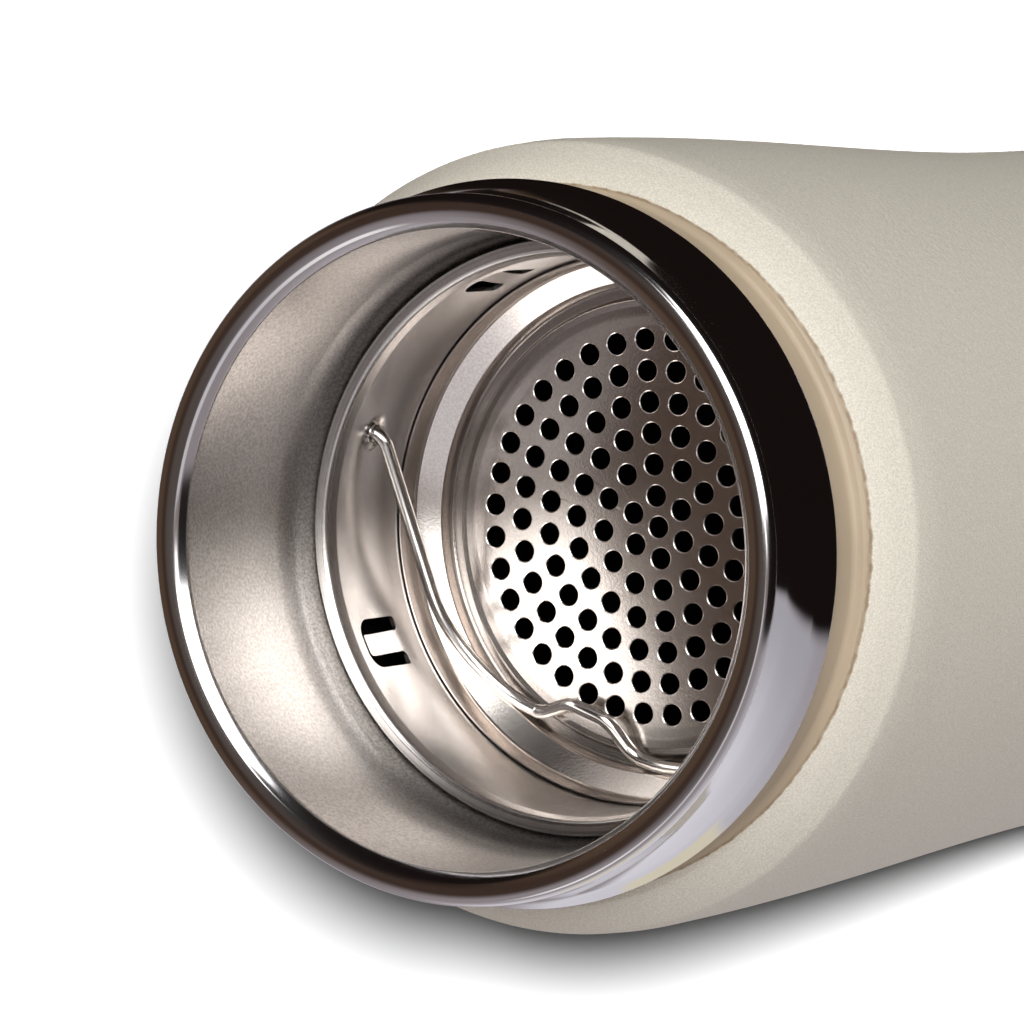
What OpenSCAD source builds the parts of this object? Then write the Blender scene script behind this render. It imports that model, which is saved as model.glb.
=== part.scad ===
// Vacuum tumbler with a waisted body, a polished neck and a lift-out strainer on a wire bail.
// Millimetres, +Z up, the foot stands on Z = 0 and the hinge of the bail runs along X.

/* [Bottle] */
// Height from the foot to the crest of the lip
height = 200; // [170:1:260]
// Clear diameter of the neck, where a plug would seal
mouth_d = 53.8; // [50:0.2:62]
// How much wider the liner's radius is below the neck
liner_swell = 0.6; // [0.2:0.1:3]
// Wall of the liner
liner_t = 0.5; // [0.3:0.05:0.8]
// Vacuum space between liner and shell, at the waist
vacuum_gap = 3.5; // [2.5:0.25:8]
// Wall of the outer shell
shell_t = 0.5; // [0.3:0.05:0.8]
// How far the widest rings stand out from the waist
waist_bulge = 2.2; // [0.5:0.05:6]
// Height of the waist above the foot
waist_h = 97.5; // [80:0.5:115]
// Slope of the shoulder's cone, in degrees
shoulder_slope = 45; // [35:1:55]
// Radius of the rounding between the shoulder's cone and the body
shoulder_round = 9; // [1:0.5:10]
// Radius of the heel's rounding
heel_round = 7.5; // [5:0.5:12]
// Straight stretch beside each rounding, before the waist curve starts
bulge_flat = 3; // [1:0.5:8]

/* [Neck] */
// Height of the lip's crest above the shoulder
neck_h = 14; // [12:0.5:20]
// Half the thickness of the rounded lip
lip_round = 1.05; // [0.9:0.05:1.5]
// How far the lip's inside flares out from the neck's bore
lip_flare = 0.85; // [0.3:0.05:1.5]
// Height of that flare
flare_h = 2.5; // [1:0.1:4]
// Wall of the collar
collar_t = 0.5; // [0.3:0.05:0.8]
// How far the collar's wall is set in from the lip's edge
collar_inset = 0.45; // [0.1:0.05:0.8]
// Height over which the collar swells out to the lip
collar_ease = 1.75; // [0.5:0.05:3]
// How far the edge of the collar's skirt stands out from its wall
skirt_stand = 1.5; // [0.8:0.05:1.7]
// Height of the skirt's edge above the shoulder
skirt_h = 4.4; // [2:0.1:6]
// Height of the slope under the skirt's edge
skirt_under = 0.6; // [0.3:0.1:1.2]
// Width of the bare land between the collar and the coating
land_w = 1.8; // [0.5:0.1:3]

/* [Strainer seat] */
// Depth of the seat's ledge below the lip's crest
seat_depth = 20.6; // [17:0.1:26]
// How far the seat's nose stands in from the neck's bore
seat_in = 1.95; // [1.6:0.05:2.6]
// Flat width of the ledge
ledge_w = 0.85; // [0.6:0.05:1]
// Height of the slope from the ledge to the neck's bore
slope_h = 2.6; // [1:0.1:4]
// Height of the nose's straight face
nose_h = 1.4; // [0.8:0.1:3]
// Height over which the liner opens out below the nose
nose_run = 3.4; // [2:0.1:6]

/* [Strainer band] */
// Gap between the seat's nose and the band
band_clear = 0.45; // [0.35:0.05:0.6]
// Sheet thickness of the band
band_t = 0.4; // [0.3:0.05:0.5]
// Depth of the punched plate below the seat's ledge
plate_drop = 14.9; // [13:0.1:20]
// Height of the band's lower edge above the punched plate
band_foot_h = 2; // [1.5:0.1:2.5]
// Radius of the curled rim's section
rim_round = 0.6; // [0.5:0.05:0.8]
// How far the curl's middle lies outside the seat's nose
rim_out = 0.15; // [0:0.05:0.3]
// Height of the curl's middle above the ledge
rim_lift = 0.5; // [0.4:0.05:0.55]
// Depth of the flare under the rim
rim_run = 1; // [0.6:0.1:1.2]
// How far the band flares out under the rim
rim_flare = 0.25; // [0.15:0.05:0.3]
// Angle of the spring tabs from the hinge axis
tab_angle = 45; // [35:1:55]
// Width of a spring tab's window
tab_window_w = 4.4; // [3.5:0.1:6]
// Height of the window
tab_window_h = 6.2; // [5:0.1:7]
// Width of the slot round the tongue
tab_slot = 1.1; // [0.5:0.05:1.4]
// Gap between the tongue's free end and the window
tab_gap = 0.3; // [0.2:0.05:1]
// Depth of the window's top below the ledge
tab_top = 1.3; // [1:0.1:2]
// How far the tongue is bent out, in degrees
tab_bend = 2; // [0:0.5:2.5]

/* [Strainer cup] */
// Sheet thickness of the cup
cup_t = 0.38; // [0.3:0.02:0.5]
// Fit between the cup's rim and the band
cup_fit = 0.02; // [0.01:0.01:0.05]
// Height of the cup's edge above the plate
cup_edge_h = 4.1; // [3.2:0.1:6]
// Height of the cup's straight rim
cup_rim_h = 2.4; // [0.4:0.1:3]
// Width of the cone, measured along the radius
cone_w = 1.9; // [1.5:0.1:2.5]
// Height of the cone's foot above the plate
cone_foot = 0.4; // [0.2:0.1:0.8]
// Width of the stiffening groove round the plate
groove_w = 1.8; // [1.4:0.1:2.2]
// Depth of the groove below the plate
groove_depth = 0.7; // [0.4:0.1:1]
// Diameter of the punched holes
hole_d = 1.88; // [1.2:0.02:2.2]
// Distance from hole to hole along a ring's spoke
hole_pitch = 2.75; // [2.6:0.05:4]
// Plain border between the outer holes and the groove
hole_border = 1.5; // [1:0.1:3]
// Turn of the hole pattern from the hinge axis
hole_turn = -5.4; // [-30:0.1:30]

/* [Bail] */
// Diameter of the wire
wire_d = 1.25; // [1:0.05:1.5]
// Diameter of the wire's ends, which turn in the band's holes
journal_d = 1.3; // [1.1:0.05:1.6]
// Running clearance of the ends in the holes, on the radius
pivot_clear = 0.05; // [0.02:0.01:0.1]
// How far the ends stand out of the band
journal_out = 0.25; // [0.1:0.05:0.3]
// Height of the hinge axis above the plate
pivot_h = 10.6; // [9:0.1:12]
// Gap between the band and the wire's corner, along the hinge axis
corner_in = 1.1; // [1:0.1:2]
// Gap between the band and the bail's far side, when the bail lies level
bail_inset = 2.2; // [1.9:0.1:4]
// Half the width of the bail's far side, out to the middle of its round corners
bail_half_w = 14.15; // [12:0.05:16]
// Radius of those corners
bail_round = 12.8; // [8:0.1:13]
// Half the width of the finger bump at its foot
bump_half_w = 4.9; // [4:0.1:5.2]
// Half the width of the bump at its top
bump_top_w = 2; // [1:0.1:2.5]
// Height of the finger bump
bump_h = 2.5; // [1.5:0.1:3.5]
// Bending radius of the wire at its ends and at the bump
bend_round = 1.3; // [1:0.1:1.6]
// Gap between the resting bail and the plate's ridge
rest_gap = 0.2; // [0.1:0.05:0.5]

/* [Base] */
// Height of the shell's lower edge above the foot
base_lift = 1.5; // [1.2:0.1:4]
// Inside radius of the shell's turned-in lower edge
flange_ri = 25; // [23:0.5:26]
// Wall of the shell's welded bottom
bottom_t = 0.5; // [0.4:0.05:0.8]
// Width of the weld between bottom and turned-in edge
weld_w = 1.5; // [1:0.1:1.6]
// Width of the glue land that holds the cover
glue_w = 1.5; // [1:0.1:2.5]
// Rise of the dished bottom
dish_h = 3.5; // [2.5:0.1:5]
// Width of the dish's sloping border
dish_run = 2.5; // [1.5:0.1:4]
// Diameter of the pumping hole
pump_d = 2; // [1:0.1:3]
// Diameter of the solder-glass button
seal_d = 6; // [4:0.1:10]
// Height of the button
seal_h = 1.2; // [0.8:0.1:1.6]
// Thickness of the cover under the base
cover_t = 0.8; // [0.5:0.05:1.1]
// Gap round the cover
cover_gap = 0.2; // [0.1:0.05:0.4]
// Outside diameter of the foot pad
pad_d = 47; // [40:0.5:48]
// Width of the foot pad's ring
pad_w = 9; // [5:0.5:12]
// Depth of the clear space under the liner, above the dish
floor_gap = 8; // [5:0.5:14]
// Rounding of the liner's bottom corner
liner_corner = 4; // [2:0.5:7]
// Height of the liner's bottom, up to its weld
liner_base_h = 8; // [7:0.5:12]
// Diameter of the getter tablet
getter_d = 8; // [5:0.5:10]
// Thickness of the tablet
getter_t = 1.5; // [1:0.1:2]
// Fit between the tablet and its tray
getter_fit = 0.02; // [0.01:0.01:0.1]
// Sheet thickness of the getter's tray
clip_t = 0.3; // [0.2:0.05:0.4]
// Distance of the getter from the axis
getter_off = 12; // [9:0.5:14]
// Gap between the liner and the copper wrap
shield_gap = 0.1; // [0.05:0.05:0.3]
// Thickness of the copper wrap
shield_t = 0.2; // [0.1:0.05:0.4]
// Distance of the copper wrap from the ends of the liner's straight wall
shield_end = 3; // [1:0.5:20]

/* [Hidden] */
$fn = 96;
hole_sides = 24;
arc_steps = 10;
waist_steps = 14;
ease_steps = 6;
cut = 1;

// Radii, from the neck's bore outwards
mouth_r = mouth_d / 2;
liner_ri = mouth_r + liner_swell;
liner_ro = liner_ri + liner_t;
waist_r = liner_ro + vacuum_gap + shell_t;
body_r = waist_r + waist_bulge;
lip_ri = mouth_r + lip_flare;
lip_mid = lip_ri + lip_round;
lip_ro = lip_mid + lip_round;
collar_ro = lip_ro - collar_inset;
collar_ri = collar_ro - collar_t;
land_r = collar_ro + land_w;

// Heights, from the crest downwards
lip_z = height - lip_round;
shoulder_z = height - neck_h;
ledge_z = height - seat_depth;
plate_z = ledge_z - plate_drop;
pivot_z = plate_z + pivot_h;
nose_z = ledge_z - nose_h;
swell_z = nose_z - nose_run;

// Shoulder cone, from the land down to the rounding's foot on the body; the rounding is limited by the cone's width
shoulder_r = min(shoulder_round, (body_r - land_r) / (1 - cos(shoulder_slope)));
cone_low_z = shoulder_z - (body_r - land_r) * tan(shoulder_slope);
shoulder_z0 = cone_low_z - shoulder_r * tan(shoulder_slope / 2);
upper_z = shoulder_z0 - bulge_flat;

// Heel fillet, limited by the wall that is left beside the weld on the turned-in edge
heel_r = min(heel_round, body_r - flange_ri - weld_w);
heel_z = base_lift + heel_r;
lower_z = heel_z + bulge_flat;

// Seat and strainer radii
nose_r = mouth_r - seat_in;
band_ro = nose_r - band_clear;
band_ri = band_ro - band_t;
cup_ro = band_ri - cup_fit;
cup_ri = cup_ro - cup_t;
cone_r = cup_ri - cone_w;
ridge_r = cone_r - groove_w;
rim_mid = nose_r + rim_out;
tab_foot_z = ledge_z - tab_top - tab_window_h;
hole_rings = floor((ridge_r - hole_border - hole_d / 2) / hole_pitch);

// Bail, laid out flat with the hinge axis along x
wire_r = wire_d / 2;
bail_reach = band_ri - bail_inset;
corner_x = band_ri - corner_in;
rest_tilt = asin((pivot_h - wire_r - rest_gap) / bail_reach);
arm_turn = atan2(bail_reach, corner_x - bail_half_w);
wire_sides = 12;
bend_steps = 6;

// Base heights
bottom_z = base_lift + shell_t;
dish_z = bottom_z + dish_h;
dish_top = dish_z + bottom_t;
cover_ro = flange_ri - cover_gap;
dish_foot_r = cover_ro - glue_w;
cover_z = bottom_z - cover_t;
floor_z = dish_top + floor_gap;
weld_z = floor_z + liner_base_h;

// Points of an arc round [x, z], from angle a0 to a1
function arc(x, z, r, a0, a1, n = arc_steps) =
    [for (i = [0:n]) [x + r * cos(a0 + (a1 - a0) * i / n), z + r * sin(a0 + (a1 - a0) * i / n)]];

// Points of a half cosine wave from [r0, z0] to [r1, z1], level with Z at both ends
function wave(r0, z0, r1, z1, n) =
    [for (i = [0:n]) [r0 + (r1 - r0) * (1 - cos(180 * i / n)) / 2, z0 + (z1 - z0) * i / n]];

// Points of a skirt that stands out from radius r at z0 and dies away into it towards z1
function flare(r, out, z0, z1, n) =
    [for (i = [0:n - 1]) [r + out * pow(1 - i / n, 3), z0 + (z1 - z0) * i / n]];

function reverse(list) = [for (i = [len(list) - 1:-1:0]) list[i]];

// The shell's side from its turned-in lower edge up to the land, set in by t
function shell_side(t) = concat(
    arc(body_r - heel_r, heel_z, heel_r - t, -90, 0),
    wave(body_r - t, lower_z, waist_r - t, waist_h, waist_steps),
    wave(waist_r - t, waist_h, body_r - t, upper_z, waist_steps),
    arc(body_r - shoulder_r, shoulder_z0, shoulder_r - t, 0, shoulder_slope),
    [[land_r - t * tan(shoulder_slope / 2), shoulder_z - t]]);

module outer_shell() {
    color("#d9d4c5")
    rotate_extrude()
    polygon(concat(
        [[flange_ri, base_lift]], shell_side(0), [[collar_ri, shoulder_z], [collar_ri, shoulder_z - shell_t]],
        reverse(shell_side(shell_t)), [[flange_ri, bottom_z]]));
}

module neck_collar() {
    skirt_z = shoulder_z + skirt_h;
    swell_foot = lip_z - collar_ease;
    color("#8e8c92")
    rotate_extrude()
    polygon(concat(
        [[collar_ri, shoulder_z], [collar_ro, shoulder_z], [collar_ro, skirt_z - skirt_under]],
        flare(collar_ro, skirt_stand, skirt_z, swell_foot, arc_steps),
        wave(collar_ro, swell_foot, lip_ro, lip_z, ease_steps),
        [[collar_ri, lip_z]]));
}

module inner_liner() {
    ledge_r = nose_r + ledge_w;
    flare_z = lip_z - flare_h;
    color("#b9b4ad")
    rotate_extrude()
    polygon(concat(
        [[liner_ro, weld_z], [liner_ri, weld_z], [liner_ri, swell_z], [nose_r, nose_z], [nose_r, ledge_z],
         [ledge_r, ledge_z], [mouth_r, ledge_z + slope_h], [mouth_r, flare_z]],
        wave(mouth_r, flare_z, lip_ri, lip_z, ease_steps),
        arc(lip_mid, lip_z, lip_round, 180, 0),
        reverse(wave(mouth_r + liner_t, flare_z, lip_ri + liner_t, lip_z, ease_steps)),
        [[mouth_r + liner_t, ledge_z + slope_h - liner_t], [ledge_r + liner_t / 2, ledge_z - liner_t],
         [nose_r + liner_t, ledge_z - liner_t], [nose_r + liner_t, nose_z + liner_t / 2],
         [liner_ro, swell_z + liner_t / 2]]));
}

module liner_base() {
    color("#b9b4ad")
    rotate_extrude()
    polygon(concat(
        [[0, floor_z + liner_t], [0, floor_z]],
        arc(liner_ro - liner_corner, floor_z + liner_corner, liner_corner, -90, 0),
        [[liner_ro, weld_z], [liner_ri, weld_z]],
        arc(liner_ro - liner_corner, floor_z + liner_corner, liner_corner - liner_t, 0, -90)));
}

module copper_shield() {
    shield_ri = liner_ro + shield_gap;
    color("#b87348")
    translate([0, 0, weld_z + shield_end])
    difference() {
        cylinder(h = swell_z - weld_z - 2 * shield_end, r = shield_ri + shield_t);
        translate([0, 0, -cut])
        cylinder(h = swell_z - weld_z - 2 * shield_end + 2 * cut, r = shield_ri);
    }
}

module shell_base() {
    weld_r = flange_ri + weld_w;
    color("#a9a7a3")
    rotate_extrude()
    polygon([
        [weld_r, bottom_z], [weld_r, bottom_z + bottom_t], [dish_foot_r, bottom_z + bottom_t],
        [dish_foot_r - dish_run, dish_top], [pump_d / 2, dish_top], [pump_d / 2, dish_z],
        [dish_foot_r - dish_run, dish_z], [dish_foot_r, bottom_z]]);
}

module seal_glass() {
    seal_r = seal_d / 2;
    half_h = seal_h / 2;
    color("#5d6f66")
    translate([0, 0, dish_z - seal_h])
    rotate_extrude()
    polygon([[0, 0], [seal_r - half_h, 0], [seal_r, half_h], [seal_r, seal_h], [0, seal_h]]);
}

module getter_clip() {
    tray_d = getter_d + 2 * getter_fit;
    color("#a9a7a3")
    translate([getter_off, 0, dish_top])
    difference() {
        cylinder(h = clip_t + getter_t, d = tray_d + 2 * clip_t);
        translate([0, 0, clip_t])
        cylinder(h = getter_t + cut, d = tray_d);
    }
}

module getter() {
    color("#6b6a68")
    translate([getter_off, 0, dish_top + clip_t])
    cylinder(h = getter_t, d = getter_d);
}

module base_cover() {
    color("#a9a7a3")
    translate([0, 0, cover_z])
    cylinder(h = cover_t, r = cover_ro);
}

module foot_pad() {
    color("#c9c4b6")
    difference() {
        cylinder(h = cover_z, d = pad_d);
        translate([0, 0, -cut])
        cylinder(h = cover_z + 2 * cut, d = pad_d - 2 * pad_w);
    }
}

// Window round a spring tab, cut through the band
module tab_window() {
    translate([band_ri - cut, -tab_window_w / 2, tab_foot_z])
    cube([band_t + 2 * cut, tab_window_w, tab_window_h]);
}

// Tongue in that window: half the sheet thick, rooted in its middle, with the free end bent out
module tab_tongue() {
    tongue_w = tab_window_w - 2 * tab_slot;
    tongue_t = band_t / 2;
    root = band_t;
    translate([band_ri + (band_t - tongue_t) / 2, 0, tab_foot_z])
    rotate([0, tab_bend, 0])
    translate([0, -tongue_w / 2, -root])
    cube([tongue_t, tongue_w, tab_window_h - tab_gap + root]);
}

module strainer_band() {
    foot_z = plate_z + band_foot_h;
    rim_z = ledge_z + rim_lift;
    flat_a = asin(rim_lift / rim_round);
    curl_a = 200;
    color("#b3aeaa")
    union() {
        difference() {
            rotate_extrude()
            polygon(concat(
                [[band_ri, foot_z], [band_ro, foot_z]],
                [[band_ro, ledge_z - rim_run], [band_ro + rim_flare, ledge_z]],
                arc(rim_mid, rim_z, rim_round, -flat_a, curl_a),
                [[band_ri, ledge_z - rim_run]]));
            for (side = [0, 180], turn = [-tab_angle, tab_angle])
                rotate([0, 0, side + turn])
                tab_window();
            translate([0, 0, pivot_z])
            rotate([0, 90, 0])
            cylinder(h = 2 * (band_ro + cut), d = journal_d + 2 * pivot_clear, center = true);
        }
        for (side = [0, 180], turn = [-tab_angle, tab_angle])
            rotate([0, 0, side + turn])
            tab_tongue();
    }
}

module strainer_cup() {
    slant = cup_t / 2;
    groove_z = plate_z - groove_depth;
    edge_z = plate_z + cup_edge_h;
    cone_z = edge_z - cup_rim_h;
    under = [
        [0, plate_z - cup_t], [ridge_r - slant, plate_z - cup_t], [ridge_r + slant, groove_z - cup_t],
        [cone_r + slant, groove_z - cup_t], [cone_r + cup_t, plate_z + cone_foot - slant],
        [cup_ro, cone_z - slant], [cup_ro, edge_z]];
    inside = [
        [cup_ri, edge_z], [cup_ri, cone_z], [cone_r, plate_z + cone_foot], [cone_r - slant, groove_z],
        [ridge_r + cup_t, groove_z], [ridge_r, plate_z], [0, plate_z]];
    color("#a8a19c")
    difference() {
        rotate_extrude()
        polygon(concat(under, inside));
        for (ring = [0:hole_rings], i = [0:max(0, 6 * ring - 1)])
            rotate([0, 0, hole_turn + (ring > 0 ? 60 * i / ring : 0)])
            translate([ring * hole_pitch, 0, plate_z - cup_t - cut])
            cylinder(h = cup_t + 2 * cut, d = hole_d, $fn = hole_sides);
    }
}

// Points of a path through corners [x, y, radius], each corner rounded to its radius
function unit(v) = v / norm(v);
function between(p, q, t, sweep) = (p * sin((1 - t) * sweep) + q * sin(t * sweep)) / sin(sweep);
function bend(a, b, c, r) =
    let (u = unit(a - b), v = unit(c - b), half = acos(u * v) / 2, reach = r / tan(half))
    let (p = b + u * reach, q = b + v * reach, mid = b + unit(u + v) * r / sin(half))
    [for (i = [0:bend_steps]) mid + between(p - mid, q - mid, i / bend_steps, 180 - 2 * half)];
function rounded(c) = concat(
    [[c[0].x, c[0].y]],
    [for (i = [1:len(c) - 2])
        each bend([c[i - 1].x, c[i - 1].y], [c[i].x, c[i].y], [c[i + 1].x, c[i + 1].y], c[i].z)],
    [[c[len(c) - 1].x, c[len(c) - 1].y]]);

// A round tube along a flat path
module tube(path, r, sides) {
    n = len(path);
    rings = [for (i = [0:n - 1])
        let (along = unit(path[min(i + 1, n - 1)] - path[max(i - 1, 0)]))
        for (j = [0:sides - 1])
            let (a = 360 * j / sides, off = r * cos(a))
            [path[i].x - along.y * off, path[i].y + along.x * off, r * sin(a)]];
    skin = [for (i = [0:n - 2], j = [0:sides - 1])
        let (k = (j + 1) % sides, a = i * sides + j, b = i * sides + k)
        each [[a, a + sides, b], [b, a + sides, b + sides]]];
    last = (n - 1) * sides;
    caps = [for (j = [1:sides - 2]) each [[0, j, j + 1], [last, last + j + 1, last + j]]];
    polyhedron(points = rings, faces = concat(skin, caps));
}

module bail_wire() {
    half = [[band_ro, 0, 0], [corner_x, 0, bend_round], [bail_half_w, bail_reach, bail_round],
            [bump_half_w, bail_reach, bend_round], [bump_top_w, bail_reach - bump_h, bend_round]];
    other = [for (p = reverse(half)) [-p.x, p.y, p.z]];
    journal_x = corner_x + bend_round * tan(arm_turn / 2);
    color("#b5aca3")
    translate([0, 0, pivot_z])
    rotate([-rest_tilt, 0, 0])
    union() {
        tube(rounded(concat(half, other)), wire_r, wire_sides);
        for (side = [0, 180])
            rotate([0, 90, side])
            translate([0, 0, journal_x])
            cylinder(h = band_ro + journal_out - journal_x, d = journal_d);
    }
}

outer_shell();
neck_collar();
inner_liner();
liner_base();
copper_shield();
shell_base();
seal_glass();
getter_clip();
getter();
base_cover();
foot_pad();
strainer_band();
strainer_cup();
bail_wire();
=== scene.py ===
# Vacuum tumbler with a lift-out strainer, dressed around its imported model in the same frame.
# Pieces are drawn in millimetres and brought to metres when they are finished.
from math import ceil, cos, degrees, pi, radians, sin, tan

import bmesh
import bpy
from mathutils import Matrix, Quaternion, Vector


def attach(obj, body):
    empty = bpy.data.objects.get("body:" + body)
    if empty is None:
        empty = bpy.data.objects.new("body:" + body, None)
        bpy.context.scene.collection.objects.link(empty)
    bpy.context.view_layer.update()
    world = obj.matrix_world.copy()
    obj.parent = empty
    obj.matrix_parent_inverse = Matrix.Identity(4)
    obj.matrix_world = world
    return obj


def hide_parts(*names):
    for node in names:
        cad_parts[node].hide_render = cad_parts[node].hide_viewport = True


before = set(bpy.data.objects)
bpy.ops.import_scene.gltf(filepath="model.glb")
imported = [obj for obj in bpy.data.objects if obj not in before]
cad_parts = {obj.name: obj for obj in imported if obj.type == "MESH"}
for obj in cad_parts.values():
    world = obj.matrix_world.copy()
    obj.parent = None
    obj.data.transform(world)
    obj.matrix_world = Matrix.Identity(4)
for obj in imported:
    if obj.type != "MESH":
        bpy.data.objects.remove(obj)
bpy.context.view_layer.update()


# Camera: a long lens a forearm away that looks down into the mouth.
# It is rolled, so that the tumbler's axis lies across the square picture.
LENS_MM = 255.4
SENSOR_MM = 36
NEAREST = 0.05
EYE_DISTANCE = 0.6141
LOOK_DOWN = radians(59.957)
HEADING = radians(27.105)
ROLL = radians(-96.31)
AIM = Vector((0.00127, -0.00243, 0.18962))

sight = Vector((cos(LOOK_DOWN) * cos(HEADING), cos(LOOK_DOWN) * sin(HEADING), -sin(LOOK_DOWN)))
bpy.ops.object.camera_add(location=AIM - sight * EYE_DISTANCE)
camera = bpy.context.object
camera.rotation_mode = "QUATERNION"
camera.rotation_quaternion = sight.to_track_quat("-Z", "Y") @ Quaternion((0, 0, 1), ROLL)
camera.data.sensor_width = SENSOR_MM
camera.data.lens = LENS_MM
camera.data.clip_start = NEAREST
bpy.context.scene.camera = camera


# Inner liner: drawn stainless tube with a rolled-in seat for the strainer and a lip turned outwards.
# The neck's wall is bead-blasted, the lip is polished, and the lip carries the collar.
MM = 0.001
TURNS = 192
ROUND_STEP = 7.5
SAME_POINT = 1e-4
MERGE_WITHIN = 0.0005
TUBE_IN = 27.5
TUBE_OUT = 28.0
TUBE_FOOT = 22.0
SEAT_Z = 179.4
BORE_R = 26.9
LIP_R = 29.85
LIP_FOOT = 198.95
LIP_STEEL = (0.66, 0.64, 0.645, 1)


def select_points(piece, test):
    """In edit mode, select the vertices that pass the test, and what lies between them."""
    bpy.ops.mesh.select_mode(type="VERT")
    bpy.ops.mesh.select_all(action="DESELECT")
    mesh = bmesh.from_edit_mesh(piece.data)
    for vertex in mesh.verts:
        vertex.select_set(bool(test(vertex.co)))
    mesh.select_flush(True)
    bmesh.update_edit_mesh(piece.data)


def draw_line(name, corners, closed):
    """A line of edges through corners (point, rounding), drawn by extruding one vertex. Stays in edit mode."""
    points = [Vector(point) for point, _ in corners]
    bpy.ops.object.select_all(action="DESELECT")
    bpy.ops.mesh.primitive_plane_add(size=1, location=points[0])
    piece = bpy.context.object
    piece.name = piece.data.name = name
    bpy.ops.object.transform_apply()
    bpy.ops.object.mode_set(mode="EDIT")
    bpy.ops.mesh.select_all(action="SELECT")
    bpy.ops.mesh.merge(type="CENTER")
    for here, there in zip(points, points[1:]):
        bpy.ops.mesh.extrude_vertices_move(TRANSFORM_OT_translate={"value": there - here})
    if closed:
        select_points(piece, lambda co: min((co - points[0]).length, (co - points[-1]).length) < SAME_POINT)
        bpy.ops.mesh.edge_face_add()
    for i, (_, rounding) in enumerate(corners):
        if rounding:
            before, corner, after = points[i - 1], points[i], points[(i + 1) % len(points)]
            turn = (corner - before).angle(after - corner)
            select_points(piece, lambda co: (co - corner).length < SAME_POINT)
            bpy.ops.mesh.bevel(
                offset=rounding * tan(turn / 2), affect="VERTICES",
                segments=max(2, ceil(degrees(turn) / ROUND_STEP)))
    return piece


def close_skin():
    """In edit mode, merge what coincides and turn every face outwards."""
    bpy.ops.mesh.select_all(action="SELECT")
    bpy.ops.mesh.remove_doubles(threshold=MERGE_WITHIN)
    bpy.ops.mesh.normals_make_consistent(inside=False)


def turned(name, section):
    """A ring of sheet metal: its closed section, corners (radius, height, rounding), spun round the axis."""
    piece = draw_line(name, [((r, 0, z), rounding) for r, z, rounding in section], closed=True)
    bpy.ops.mesh.select_all(action="SELECT")
    bpy.ops.mesh.spin(steps=TURNS, angle=2 * pi, center=(0, 0, 0), axis=(0, 0, 1), use_auto_merge=True)
    close_skin()
    bpy.ops.object.mode_set(mode="OBJECT")
    return piece


def pick(piece):
    """Select this piece alone, to work on it."""
    bpy.ops.object.select_all(action="DESELECT")
    piece.select_set(True)
    bpy.context.view_layer.objects.active = piece


def settle(piece, material, body, node, crease=38):
    """Bring a finished piece to metres, give it its material and put it on its body in place of its node."""
    pick(piece)
    bpy.ops.object.mode_set(mode="EDIT")
    bpy.ops.mesh.select_all(action="SELECT")
    bpy.ops.transform.resize(value=(MM, MM, MM), center_override=(0, 0, 0))
    bpy.ops.object.mode_set(mode="OBJECT")
    bpy.ops.object.shade_smooth_by_angle(angle=radians(crease))
    piece.data.materials.clear()
    piece.data.materials.append(material)
    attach(piece, body)
    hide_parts(node)


class Signal:
    """An output socket in a node tree: arithmetic on it adds Math nodes, and make() adds any other node."""

    def __init__(self, tree, socket=None):
        self.tree = tree
        self.socket = socket

    def make(self, kind, settings=None, inputs=None, output=0):
        """A new node with these settings and inputs, and the signal that one of its outputs gives."""
        node = self.tree.nodes.new("ShaderNode" + kind)
        for name, value in (settings or {}).items():
            setattr(node, name, value)
        for key, value in (inputs or {}).items():
            if isinstance(value, Signal):
                self.tree.links.new(value.socket, node.inputs[key])
            else:
                node.inputs[key].default_value = value
        return Signal(self.tree, node.outputs[output])

    def maths(self, operation, first, second=0.0):
        return self.make("Math", {"operation": operation}, {0: first, 1: second})

    def __add__(self, other):
        return self.maths("ADD", self, other)

    def __sub__(self, other):
        return self.maths("SUBTRACT", self, other)

    def __rsub__(self, other):
        return self.maths("SUBTRACT", other, self)

    def __mul__(self, other):
        return self.maths("MULTIPLY", self, other)

    __radd__ = __add__
    __rmul__ = __mul__

    def step(self, low, high):
        """A soft step from 0 at low to 1 at high."""
        ends = {"Value": self, "From Min": low, "From Max": high}
        return self.make("MapRange", {"interpolation_type": "SMOOTHSTEP"}, ends)

    def between(self, low, high, soft):
        """1 from low to high, fading out over soft beyond each."""
        return self.step(low - soft, low) * (1 - self.step(high, high + soft))

    def blend(self, first, second):
        """Colour first where this is 0, second where it is 1."""
        return self.make("Mix", {"data_type": "RGBA"}, {0: self, 6: first, 7: second}, output=2)

    def noise(self, size_mm, detail=2.0):
        """Noise on these coordinates, with grains of that size."""
        return self.make("TexNoise", None, {"Vector": self, "Scale": 1 / (size_mm * MM), "Detail": detail})


def height_mm(place):
    """Height above the foot, in millimetres."""
    return place.make("SeparateXYZ", None, {0: place}, output=2) * (1 / MM)


def radius_mm(place, centre=(0, 0)):
    """Distance from an upright line through the centre, in millimetres."""
    middle = (centre[0] * MM, centre[1] * MM, 0)
    aside = place.make("VectorMath", {"operation": "SUBTRACT"}, {0: place, 1: middle})
    flat = place.make("VectorMath", {"operation": "MULTIPLY"}, {0: aside, 1: (1 / MM, 1 / MM, 0)})
    return place.make("VectorMath", {"operation": "LENGTH"}, {0: flat}, output=1)


def new_material(name):
    """A material with its shader and the object's coordinates."""
    material = bpy.data.materials.new(name)
    material.use_nodes = True
    tree = material.node_tree
    return material, tree.nodes["Principled BSDF"], Signal(tree).make("TexCoord", output=3)


def feed(shader, socket, signal):
    """Lead a signal into one of the shader's sockets."""
    signal.tree.links.new(signal.socket, shader.inputs[socket])


def shade_of(colour, share):
    """The colour made darker or lighter by a share."""
    return tuple(c * share for c in colour) + (1,)


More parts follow.
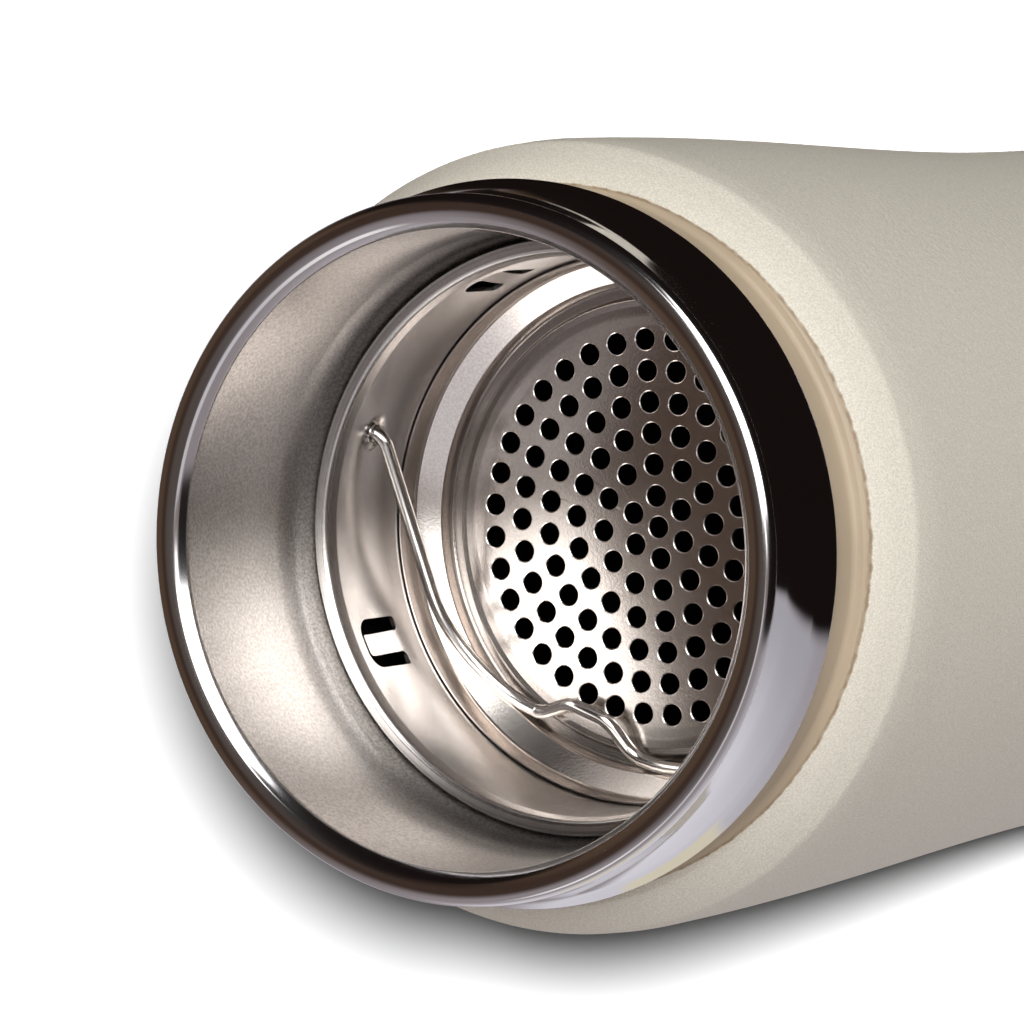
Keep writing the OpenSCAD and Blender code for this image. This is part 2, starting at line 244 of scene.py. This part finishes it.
def steel(name, colour, metal, rough, grain_mm, relief_mm, speckle=0.05):
    """Stainless steel with a grain; the less metal, the more the grain scatters light to all sides."""
    material, shader, place = new_material(name)
    grain = place.noise(grain_mm, 3)
    cloud = place.noise(7, 3)
    dark, light = shade_of(colour, 1 - speckle), shade_of(colour, 1 + speckle)
    shader.inputs["Metallic"].default_value = metal
    feed(shader, "Base Color", grain.step(0.3, 0.7).blend(dark, light))
    feed(shader, "Roughness", rough * (0.8 + 0.4 * cloud))
    feed(shader, "Normal", grain.make("Bump", None, {"Distance": relief_mm * MM, "Height": grain}))
    return material


liner = turned("inner_liner_wall", [
    (TUBE_IN, TUBE_FOOT, 0), (TUBE_IN, 174.6, 3.0), (24.95, 178.0, 1.2), (24.95, SEAT_Z, 0.3),
    (25.8, SEAT_Z, 0.3), (26.5, 180.9, 2.5), (BORE_R, 184.5, 8.0), (BORE_R, 199.0, 0.5),
    (27.6, 199.75, 1.0), (28.7, 200.08, 1.6), (LIP_R, 199.7, 0.85), (LIP_R, LIP_FOOT, 0),
    (28.3, LIP_FOOT, 0), (27.4, 198.3, 0.5), (27.4, 183.9, 6.0), (26.9, 180.6, 1.5),
    (26.05, 178.9, 0.3), (25.45, 178.9, 0.2), (25.45, 178.25, 0.5), (TUBE_OUT, 174.85, 3.0),
    (TUBE_OUT, TUBE_FOOT, 0)])
blasted, shader, place = new_material("blasted_steel")
height = height_mm(place)
grain = place.noise(0.26, 2)
coarse = place.noise(0.24, 2)
polished = height.step(LIP_FOOT, LIP_FOOT + 0.25)
seat = height.between(SEAT_Z - 0.2, SEAT_Z + 2.8, 2.2)
# Painted shade: the wall's colour darkens from 190 mm down to the seat, and again below the seat into the
# bottle, down to about a fifth at the liner's foot.
depth = (0.35 + 0.65 * height.step(164, 177)) * (0.60 + 0.40 * height.step(180.5, 190))
speckle = grain.step(0.32, 0.68).blend((0.67, 0.643, 0.615, 1), (0.93, 0.90, 0.875, 1))
pepper = coarse.step(0.40, 0.60).blend((0.50, 0.475, 0.455, 1), (0.90, 0.87, 0.845, 1))
wall = depth.blend((0, 0, 0, 1), (0.6 * seat).blend(speckle, pepper))
feed(shader, "Base Color", polished.blend(wall, LIP_STEEL))
feed(shader, "Roughness", 0.29 * (1 - polished) + 0.13 * polished)
feed(shader, "Normal", grain.make(
    "Bump", None, {"Strength": 1 - polished, "Distance": 0.014 * MM, "Height": grain + 0.8 * seat * coarse}))
shader.inputs["Metallic"].default_value = 1
settle(liner, blasted, "bottle", "inner_liner")


# Bottom of the liner: a pressed stainless dish, welded to the liner's lower edge.
# It keeps its solid and takes the blasted finish of the wall above it.
def dress(node, material):
    """Give a piece that keeps its solid its material."""
    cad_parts[node].data.materials.clear()
    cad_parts[node].data.materials.append(material)


dress("liner_base", blasted)


# Copper wrap: thin bright foil rolled round the liner, which throws back radiated heat.
# It lies in the vacuum space and shows only if the tumbler is cut open.
COPPER = (0.80, 0.42, 0.26)

dress("copper_shield", steel(
    "copper_foil", COPPER, metal=1, rough=0.22, grain_mm=2.5, relief_mm=0.02, speckle=0.08))


# Outer shell: drawn stainless wall with a waist, a round heel and a shoulder, powder coated in cream.
# The coat ends short of the neck and leaves a bare land with a ragged brown edge and a faint brown tint near
# the coat. The land is painted a darker beige: painted shade under the collar, with warm light bounced off the
# steel.
BODY_OUT = 34.2
BODY_IN = 33.7
WAIST_OUT = 32.0
WAIST_IN = 31.5
HEEL_Z = 12.0
WAIST_Z = 97.5
SHOULDER_Z = 176.2
BASE_HOLE_R = 25.0
NECK_IN = 28.9
COAT = (0.745, 0.700, 0.598)
SHADED_LAND = (0.455, 0.365, 0.260)
STAIN = (0.220, 0.140, 0.070)
COAT_EDGE = 30.25
COAT_CENTRE = (-1.2, -0.72)


def waist(from_r, from_z, to_r, to_z, steps=14):
    """Half a cosine wave from one ring to the other."""
    return [
        (from_r + (to_r - from_r) * (1 - cos(pi * i / steps)) / 2, from_z + (to_z - from_z) * i / steps, 0)
        for i in range(steps + 1)]


shell = turned("outer_shell_coated", [
    (BASE_HOLE_R, 1.5, 0.15), (BODY_OUT, 1.5, 7.5), *waist(BODY_OUT, HEEL_Z, WAIST_OUT, WAIST_Z),
    *waist(WAIST_OUT, WAIST_Z, BODY_OUT, SHOULDER_Z)[1:], (BODY_OUT, 178.3, 12), (33.97, 181.6, 2.0),
    (32.65, 184.0, 6.0), (31.2, 186.0, 0.3), (30.3, 186.2, 0.6), (29.7, 189.9, 0), (NECK_IN, 189.9, 0),
    (NECK_IN, 185.4, 0), (31.0, 185.4, 0), (33.45, 181.5, 1.0), (BODY_IN, 178.3, 10),
    *waist(BODY_IN, SHOULDER_Z, WAIST_IN, WAIST_Z), *waist(WAIST_IN, WAIST_Z, BODY_IN, HEEL_Z)[1:],
    (BODY_IN, 2.0, 7.0), (BASE_HOLE_R, 2.0, 0.15)])
coat, shader, place = new_material("powder_coat")
orange_peel = place.noise(0.55, 2)
dust = place.noise(0.16, 2)
cloud = place.noise(14, 3)
ragged = place.noise(0.9, 3)
beyond = radius_mm(place, COAT_CENTRE) - COAT_EDGE - 0.3 * (ragged - 0.5)
near_neck = height_mm(place).step(184.0, 184.3)
bare = near_neck * (1 - beyond.step(-0.06, 0.06))
stain = near_neck * (0.45 * beyond.between(-0.16, -0.08, 0.05) * ragged.step(0.40, 0.60)
                     + 0.20 * beyond.between(-0.22, 0.0, 0.05))
cream = dust.step(0.3, 0.7).blend(shade_of(COAT, 0.86), shade_of(COAT, 1.08))
# Painted shade: the land's darker beige stands for the collar's shade and warm light bounced off the steel.
painted_shade_land = cloud.step(0.3, 0.7).blend(shade_of(SHADED_LAND, 0.92), shade_of(SHADED_LAND, 1.06))
feed(shader, "Base Color", stain.blend(bare.blend(cream, painted_shade_land), shade_of(STAIN, 1)))
feed(shader, "Roughness", 0.56 + 0.10 * cloud - 0.16 * bare)
feed(shader, "Normal", place.make(
    "Bump", None, {"Strength": 1 - 0.6 * bare, "Distance": 0.06 * MM, "Height": orange_peel + 0.5 * dust}))
shader.inputs["Specular IOR Level"].default_value = 0.4
settle(shell, coat, "bottle", "outer_shell")


# Bottom of the shell: a dished stainless disc welded into the turned-in edge, with the pumping hole in it.
# The getter's tray is spot-welded on top, and all of it is hidden behind the cover.
MILL_STEEL = (0.60, 0.59, 0.58)

plain = steel("mill_steel", MILL_STEEL, metal=0.9, rough=0.34, grain_mm=0.6, relief_mm=0.004)
dress("shell_base", plain)
dress("getter_clip", plain)


# Solder glass: a fused button that closes the pumping hole for good.
# It is dark, glossy and a little uneven.
glass, shader, place = new_material("fused_glass")
swirl = place.noise(1.2, 4)
feed(shader, "Base Color", swirl.blend((0.055, 0.075, 0.065, 1), (0.13, 0.16, 0.14, 1)))
feed(shader, "Roughness", 0.10 + 0.15 * swirl)
dress("seal_glass", glass)


# Getter: a tablet pressed from metal powder, which soaks up what gas is left in the vacuum.
# It is dull, dark and grainy.
powder, shader, place = new_material("pressed_powder")
grit = place.noise(0.25, 3)
feed(shader, "Base Color", grit.blend((0.07, 0.07, 0.068, 1), (0.17, 0.165, 0.16, 1)))
feed(shader, "Normal", grit.make("Bump", None, {"Distance": 0.05 * MM, "Height": grit}))
shader.inputs["Roughness"].default_value = 0.85
dress("getter", powder)


# Neck collar: a stainless ring that flares to a sharp-edged skirt near its foot, mirror-polished.
# It is welded under the lip and stands on the shell's bare land.
COLLAR_FOOT = 185.8
COLLAR_OUT = 29.4
SKIRT_R = 30.92

collar = turned("neck_collar_polished", [
    (NECK_IN, COLLAR_FOOT, 0), (COLLAR_OUT, COLLAR_FOOT, 0), (COLLAR_OUT, 189.75, 0), (30.8, 190.15, 0.08),
    (SKIRT_R, 190.4, 0.08), (30.2, 191.6, 3.5), (29.5, 194.4, 14), (LIP_R, LIP_FOOT, 0),
    (NECK_IN, LIP_FOOT, 0)])
mirror, shader, place = new_material("mirror_steel")
smear = place.noise(9, 4)
ripple = place.noise(5, 1)
shader.inputs["Metallic"].default_value = 1
feed(shader, "Base Color", smear.blend((0.63, 0.61, 0.62, 1), (0.69, 0.68, 0.70, 1)))
feed(shader, "Roughness", 0.025 + 0.05 * smear)
feed(shader, "Normal", ripple.make("Bump", None, {"Strength": 1.0, "Distance": 0.012 * MM, "Height": ripple}))
settle(collar, mirror, "bottle", "neck_collar")


# Base cover: a flat stainless disc glued under the base to close its recess.
# It has a rolled edge and the mill's own finish.
COVER_R = 24.8
COVER_LOW = 1.2
COVER_TOP = 2.0
HUB_R = 3.0

cover = turned("base_cover_disc", [
    (HUB_R, COVER_LOW, 0), (COVER_R, COVER_LOW, 0.3), (COVER_R, COVER_TOP, 0.2), (HUB_R, COVER_TOP, 0)])
bpy.ops.object.mode_set(mode="EDIT")
select_points(cover, lambda co: co.xy.length < HUB_R + 0.1)
bpy.ops.mesh.delete(type="FACE")
for level in (COVER_LOW, COVER_TOP):
    select_points(cover, lambda co: co.xy.length < HUB_R + 0.1 and abs(co.z - level) < 0.01)
    bpy.ops.mesh.edge_face_add()
close_skin()
bpy.ops.object.mode_set(mode="OBJECT")
settle(cover, plain, "bottle", "base_cover")


# Foot pad: a ring of matt silicone glued to the cover, which the tumbler stands on.
# Two shallow grooves in its underside keep it from sticking.
PAD_IN = 14.5
PAD_OUT = 23.5
GROOVE = 0.35

pad = turned("foot_pad_ring", [
    (PAD_IN, 0, 0.4), (17.0, 0, 0.15), (17.4, GROOVE, 0.15), (17.8, 0, 0.15), (20.2, 0, 0.15),
    (20.6, GROOVE, 0.15), (21.0, 0, 0.15), (PAD_OUT, 0, 0.4), (PAD_OUT, COVER_LOW, 0.1),
    (PAD_IN, COVER_LOW, 0.1)])
silicone, shader, place = new_material("matt_silicone")
bloom = place.noise(3, 4)
skin = place.noise(0.3, 2)
feed(shader, "Base Color", bloom.step(0.3, 0.7).blend((0.40, 0.375, 0.325, 1), (0.46, 0.43, 0.375, 1)))
feed(shader, "Roughness", 0.62 + 0.2 * bloom)
feed(shader, "Normal", skin.make("Bump", None, {"Distance": 0.01 * MM, "Height": skin}))
settle(pad, silicone, "bottle", "foot_pad")


# Strainer band: a rolled stainless ring with a curled rim that rests on the seat.
# Four spring tongues are punched in its wall and bent out; each bend is a height and a shift outwards.
# Two pierced, dented holes take the bail's ends, and the drill leaves a rough burr inside.
BAND_IN = 24.1
BAND_OUT = 24.5
BAND_FOOT = 166.5
RIM_R = 25.7
RIM_LOW = 179.35
RIM_TOP = 180.5
PIVOT_Z = 175.1
PIVOT_R = 0.7
BURR_R = 0.86
BURR_THICK = 0.12
TAB_ANGLES = (45, 135, 225, 315)
PUNCH_R = 23
PUNCH_TRAVEL = 3
SLOT_HALF = 2.3
SLOT_FOOT = 171.9
SLOT_TOP = 178.0
TONGUE_HALF = 1.0
TONGUE_TIP = 177.1
TONGUE_BEND = ((171.6, 0), (173.2, 0.06), (174.4, 0.19), (175.6, 0.36))
NEAR = 0.05


def cut_away(piece, cutter):
    """Take the cutter's shape out of the piece."""
    pick(piece)
    knife = piece.modifiers.new("cut", "BOOLEAN")
    knife.object = cutter
    knife.operation = "DIFFERENCE"
    knife.solver = "EXACT"
    bpy.ops.object.modifier_apply(modifier=knife.name)
    bpy.data.objects.remove(cutter)


band = turned("strainer_band_ring", [
    (BAND_IN, BAND_FOOT, 0.1), (BAND_OUT, BAND_FOOT, 0.1), *((BAND_OUT, z, 0) for z, _ in TONGUE_BEND),
    (BAND_OUT, 178.7, 0.4), (24.72, RIM_LOW, 0.2), (RIM_R, RIM_LOW, 0.5), (RIM_R, RIM_TOP, 0.57),
    (24.4, RIM_TOP, 0.6), (BAND_IN, 179.1, 0.7), *((BAND_IN, z, 0) for z, _ in reversed(TONGUE_BEND))])
for angle in TAB_ANGLES:
    slot = draw_line("tab_slot", [
        ((PUNCH_R, -SLOT_HALF, SLOT_FOOT), 0.55), ((PUNCH_R, -TONGUE_HALF, SLOT_FOOT), 0.55),
        ((PUNCH_R, -TONGUE_HALF, TONGUE_TIP), 0.2), ((PUNCH_R, TONGUE_HALF, TONGUE_TIP), 0.45),
        ((PUNCH_R, TONGUE_HALF, SLOT_FOOT), 0.55), ((PUNCH_R, SLOT_HALF, SLOT_FOOT), 0.3),
        ((PUNCH_R, SLOT_HALF, SLOT_TOP), 1.5), ((PUNCH_R, -SLOT_HALF, SLOT_TOP), 1.5)], closed=True)
    bpy.ops.mesh.select_all(action="SELECT")
    bpy.ops.mesh.edge_face_add()
    bpy.ops.mesh.extrude_region_move(TRANSFORM_OT_translate={"value": (PUNCH_TRAVEL, 0, 0)})
    close_skin()
    bpy.ops.mesh.select_all(action="SELECT")
    bpy.ops.transform.rotate(value=radians(-angle), orient_axis="Z", center_override=(0, 0, 0))
    bpy.ops.object.mode_set(mode="OBJECT")
    cut_away(band, slot)
for side in (-1, 1):
    bpy.ops.object.select_all(action="DESELECT")
    bpy.ops.mesh.primitive_cone_add(
        vertices=32, radius1=PIVOT_R + 0.05, radius2=PIVOT_R, depth=1.6,
        location=(side * (BAND_IN - 0.05), 0, PIVOT_Z), rotation=(0, side * pi / 2, 0))
    drill = bpy.context.object
    bpy.ops.object.transform_apply()
    cut_away(band, drill)
for side in (-1, 1):
    bpy.ops.object.select_all(action="DESELECT")
    bpy.ops.mesh.primitive_torus_add(
        major_segments=22, minor_segments=6, major_radius=BURR_R, minor_radius=BURR_THICK,
        location=(side * (BAND_IN - 0.02), 0, PIVOT_Z), rotation=(0, pi / 2, 0))
    bpy.ops.object.transform_apply()
    bpy.ops.object.mode_set(mode="EDIT")
    bpy.ops.mesh.select_all(action="SELECT")
    bpy.ops.transform.vertex_random(offset=0.11, seed=4)
    bpy.ops.object.mode_set(mode="OBJECT")
    band.select_set(True)
    bpy.context.view_layer.objects.active = band
    bpy.ops.object.join()
pick(band)
bpy.ops.object.mode_set(mode="EDIT")
for angle in TAB_ANGLES:
    out = Vector((cos(radians(angle)), sin(radians(angle)), 0))
    for level, shift in TONGUE_BEND[1:]:
        top = TONGUE_TIP + NEAR if level == TONGUE_BEND[-1][0] else level + NEAR
        select_points(band, lambda co: co.dot(out) > PUNCH_R and level - NEAR < co.z < top
                      and abs(co.cross(out).z) < TONGUE_HALF + NEAR)
        bpy.ops.transform.translate(value=out * shift)
close_skin()
bpy.ops.object.mode_set(mode="OBJECT")
satin, shader, place = new_material("satin_sheet")
grain = place.noise(0.20, 3)
cloud = place.noise(7, 3)
from_pivot = place.make(
    "VectorMath", {"operation": "MULTIPLY_ADD"}, {0: place, 1: (0, 1 / MM, 1 / MM), 2: (0, 0, -PIVOT_Z)})
dent = place.make("VectorMath", {"operation": "LENGTH"}, {0: from_pivot}, output=1).step(0.5, 1.9)
shader.inputs["Metallic"].default_value = 1
feed(shader, "Base Color", grain.step(0.3, 0.7).blend((0.62, 0.59, 0.57, 1), (0.68, 0.65, 0.63, 1)))
feed(shader, "Roughness", 0.20 + 0.06 * cloud)
feed(shader, "Normal", grain.make("Bump", None, {"Distance": 0.003 * MM, "Height": grain + 90 * dent}))
settle(band, satin, "strainer", "strainer_band")


# Strainer cup: pressed stainless sheet with a cone, a stiffening groove and a plate of punched holes.
# Its edge is pressed into the band. The holes have rolled-over edges from the punch.
PLATE_Z = 164.5
SHEET = 0.38
GROOVE_LOW = 163.42
GROOVE_TOP = 163.8
CUP_R = 24.06
CUP_TOP = 168.6
HOLE_R = 0.94
HOLE_PITCH = 2.75
HOLE_RINGS = 6
HOLE_TURN = radians(-5.4)
ROLL_OVER = 0.10
GROOVE_SHADE = (0.10, 0.075, 0.06, 1)

cup = turned("strainer_cup_punched", [
    (0, PLATE_Z - SHEET, 0), (19.7, PLATE_Z - SHEET, 0.3), (20.0, GROOVE_LOW, 0.2), (21.75, GROOVE_LOW, 0.3),
    (22.05, 164.75, 0.4), (CUP_R, 165.95, 0.4), (CUP_R, 168.2, 0), (23.97, CUP_TOP, 0.08),
    (23.82, CUP_TOP, 0.08), (23.78, 166.4, 0.6), (21.65, 165.05, 0.3), (21.35, GROOVE_TOP, 0.35),
    (20.35, GROOVE_TOP, 0.25), (20.0, PLATE_Z + 0.12, 0.15), (19.4, PLATE_Z - 0.01, 0.4),
    (18.5, PLATE_Z - 0.05, 1.0), (17.7, PLATE_Z, 0.8), (0, PLATE_Z, 0)])
bpy.ops.object.select_all(action="DESELECT")
bpy.ops.mesh.primitive_cylinder_add(
    vertices=24, radius=HOLE_R, depth=2, location=(0, 0, PLATE_Z - 1 - ROLL_OVER))
punch = bpy.context.object
bpy.ops.object.transform_apply()
bpy.ops.object.mode_set(mode="EDIT")
select_points(punch, lambda co: co.z > PLATE_Z - 1)
for rise, spread in ((0.6, 0.25), (0.4, 0.75)):
    grow = 1 + ROLL_OVER * spread / HOLE_R
    bpy.ops.mesh.extrude_region_move(TRANSFORM_OT_translate={"value": (0, 0, ROLL_OVER * rise)})
    bpy.ops.transform.resize(value=(grow, grow, 1), center_override=(0, 0, 0))
bpy.ops.mesh.extrude_region_move(TRANSFORM_OT_translate={"value": (0, 0, 1)})
for ring in range(1, HOLE_RINGS + 1):
    select_points(punch, lambda co: co.xy.length < HOLE_PITCH / 2)
    reach = ring * HOLE_PITCH
    bpy.ops.mesh.duplicate_move(
        TRANSFORM_OT_translate={"value": (reach * cos(HOLE_TURN), reach * sin(HOLE_TURN), 0)})
    bpy.ops.mesh.spin(
        steps=6 * ring - 1, dupli=True, angle=2 * pi * (1 - 1 / (6 * ring)), center=(0, 0, 0), axis=(0, 0, 1))
bpy.ops.mesh.select_all(action="SELECT")
bpy.ops.mesh.normals_make_consistent(inside=False)
bpy.ops.object.mode_set(mode="OBJECT")
cut_away(cup, punch)
bpy.ops.object.mode_set(mode="EDIT")
close_skin()
bpy.ops.object.mode_set(mode="OBJECT")
speckled, shader, place = new_material("speckled_sheet")
grain = place.noise(0.20, 3)
cloud = place.noise(7, 3)
# Painted shade: the ring round the groove is painted dark brown, standing in for the groove's shade and the
# dark surroundings it reflects.
painted_groove_shade = 0.42 * radius_mm(place).between(18.9, 21.2, 0.4)
sheet = grain.step(0.3, 0.7).blend((0.68, 0.625, 0.585, 1), (0.78, 0.725, 0.685, 1))
shader.inputs["Metallic"].default_value = 1
feed(shader, "Base Color", painted_groove_shade.blend(sheet, GROOVE_SHADE))
feed(shader, "Roughness", 0.16 + 0.08 * cloud)
feed(shader, "Normal", grain.make("Bump", None, {"Distance": 0.005 * MM, "Height": grain}))
settle(cup, speckled, "strainer", "strainer_cup", crease=12)


# Bail: bright drawn stainless wire bent to a handle with a finger bump.
# Its ends are sprung into the band's two holes, and at rest it lies on the cup's ridge.
WIRE_R = 0.635
WIRE_STEEL = (0.72, 0.69, 0.66)
REST_TILT = radians(26.5)


def on_bail(x, y):
    """A point of the flat bail, tilted down to where it rests."""
    return (x, y * cos(REST_TILT), PIVOT_Z - y * sin(REST_TILT))


half = [(24.7, 0, 0), (23.0, 0, 1.3), (14.15, 21.9, 12.8), (4.9, 21.9, 2.6), (2.0, 19.4, 2.4)]
route = half + [(-x, y, rounding) for x, y, rounding in reversed(half)]
bail = draw_line("bail_wire_bent", [(on_bail(x, y), rounding) for x, y, rounding in route], closed=False)
bpy.ops.object.mode_set(mode="OBJECT")
bpy.ops.object.convert(target="CURVE")
bail.data.bevel_depth = WIRE_R
bail.data.bevel_resolution = 5
bail.data.use_fill_caps = True
bpy.ops.object.convert(target="MESH")
bpy.ops.object.mode_set(mode="EDIT")
close_skin()
bpy.ops.object.mode_set(mode="OBJECT")
drawn = steel("drawn_wire", WIRE_STEEL, metal=1, rough=0.19, grain_mm=0.5, relief_mm=0.004, speckle=0.04)
settle(bail, drawn, "bail", "bail_wire", crease=60)


# Floor: a plain sheet that the tumbler stands on, white where the lamp above the lens falls on it.
# Metal and coat take their light from the studio round it, and far from the tumbler the sheet glows white.
FLOOR_SIZE = 8
GLOW_FROM = 280
GLOW_FULL = 420
DARK_GREY = (0.05, 0.05, 0.05, 1)

bpy.ops.object.select_all(action="DESELECT")
bpy.ops.mesh.primitive_plane_add(size=FLOOR_SIZE)
floor = bpy.context.object
floor.name = "floor"
paper, shader, place = new_material("floor_paper")
glow = radius_mm(place).step(GLOW_FROM, GLOW_FULL)
feed(shader, "Emission Color", glow.blend((0.03, 0.03, 0.03, 1), (1.1, 1.1, 1.1, 1)))
shader.inputs["Base Color"].default_value = DARK_GREY
shader.inputs["Emission Strength"].default_value = 1
shader.inputs["Roughness"].default_value = 1
shader.inputs["Specular IOR Level"].default_value = 0
floor.data.materials.append(paper)
floor.visible_glossy = False
floor.visible_diffuse = False


# Floor light: a small round lamp just above the lens, for the floor alone.
# It lays a soft shadow along the lower edge of the tumbler in the picture.
LAMP_RISE = 0.015
LAMP_SIZE = 0.032
LAMP_WATTS = 200

upwards = camera.rotation_quaternion @ Vector((0, 1, 0))
bpy.ops.object.light_add(type="AREA", location=camera.location + upwards * LAMP_RISE)
lamp = bpy.context.object
lamp.name = "floor_lamp"
lamp.rotation_mode = "QUATERNION"
lamp.rotation_quaternion = camera.rotation_quaternion
lamp.data.shape = "DISK"
lamp.data.size = LAMP_SIZE
lamp.data.energy = LAMP_WATTS
floor_only = bpy.data.collections.new("floor_only")
floor_only.objects.link(floor)
lamp.light_linking.receiver_collection = floor_only


# Studio: a large white soft box to the upper right of the picture, a grey room with a window below it,
# a bright patch round the lens, and dark felt on the far side. The polished neck shows all of it.
# Headings run round the tumbler's axis from +X, lifts up from the floor, both in degrees.
studio = bpy.data.worlds.new("studio")
bpy.context.scene.world = studio
studio.use_nodes = True
tree = studio.node_tree
facing = Signal(tree).make("TexCoord", output=0)
x, y, z = (facing.make("SeparateXYZ", None, {0: facing}, output=axis) for axis in range(3))
compass = facing.maths("ARCTAN2", y, x) * (180 / pi)
heading = compass + 360 * (1 - compass.step(-0.01, 0.01))
lift = facing.maths("ARCSINE", z) * (180 / pi)
soft_box = heading.between(213, 264, 7) * lift.between(25, 78, 8)
box_top = heading.between(264, 284, 7) * lift.between(58, 78, 4)
window = heading.between(92, 180, 8) * (lift - 0.38 * heading).between(-12, 3, 5)
lens_side = heading.between(182, 208, 6) * lift.between(42, 70, 6)
lens = heading.between(199, 219, 6) * lift.between(54, 65, 5)
ceiling = lift.step(58, 76)
far_wall = (1 - heading.step(45, 80)) + heading.step(334, 352)
grey_side = heading.step(40, 72) * (1 - heading.step(174, 180)) * (1 - lift.step(50, 76))
room_low = heading.step(70, 84) * (1 - heading.step(173, 179)) * (1 - lift.step(-25, 25))
table = ((1 - heading.step(52, 66)) + heading.step(340, 356)) * lift.between(-50, -33, 5)
streak = heading.between(102, 122, 6) * lift.between(-24, -12, 6)
felt = lift.step(38, 52).blend((0.105, 0.068, 0.046, 1), (0.060, 0.036, 0.026, 1))
wall_paint = heading.step(100, 178).blend((0.84, 0.82, 0.88, 1), (0.50, 0.485, 0.52, 1))
daylight = heading.step(98, 122).blend((1.22, 1.20, 1.20, 1), (0.74, 0.725, 0.76, 1))
light = far_wall.blend((0.010, 0.007, 0.006, 1), felt)
light = ceiling.blend(light, (0.10, 0.082, 0.072, 1))
light = grey_side.blend(light, (0.36, 0.325, 0.335, 1))
light = room_low.blend(light, wall_paint)
light = streak.blend(light, (0.90, 0.84, 0.64, 1))
light = table.blend(light, (0.62, 0.60, 0.67, 1))
light = window.blend(light, daylight)
light = lens_side.blend(light, (0.24, 0.21, 0.20, 1))
light = soft_box.blend(light, (5.5, 5.5, 5.5, 1))
light = box_top.blend(light, (4.1, 4.1, 4.1, 1))
light = lens.blend(light, (2.4, 2.4, 2.4, 1))
tree.links.new(light.socket, tree.nodes["Background"].inputs["Color"])

bpy.context.scene.view_settings.view_transform = "Standard"
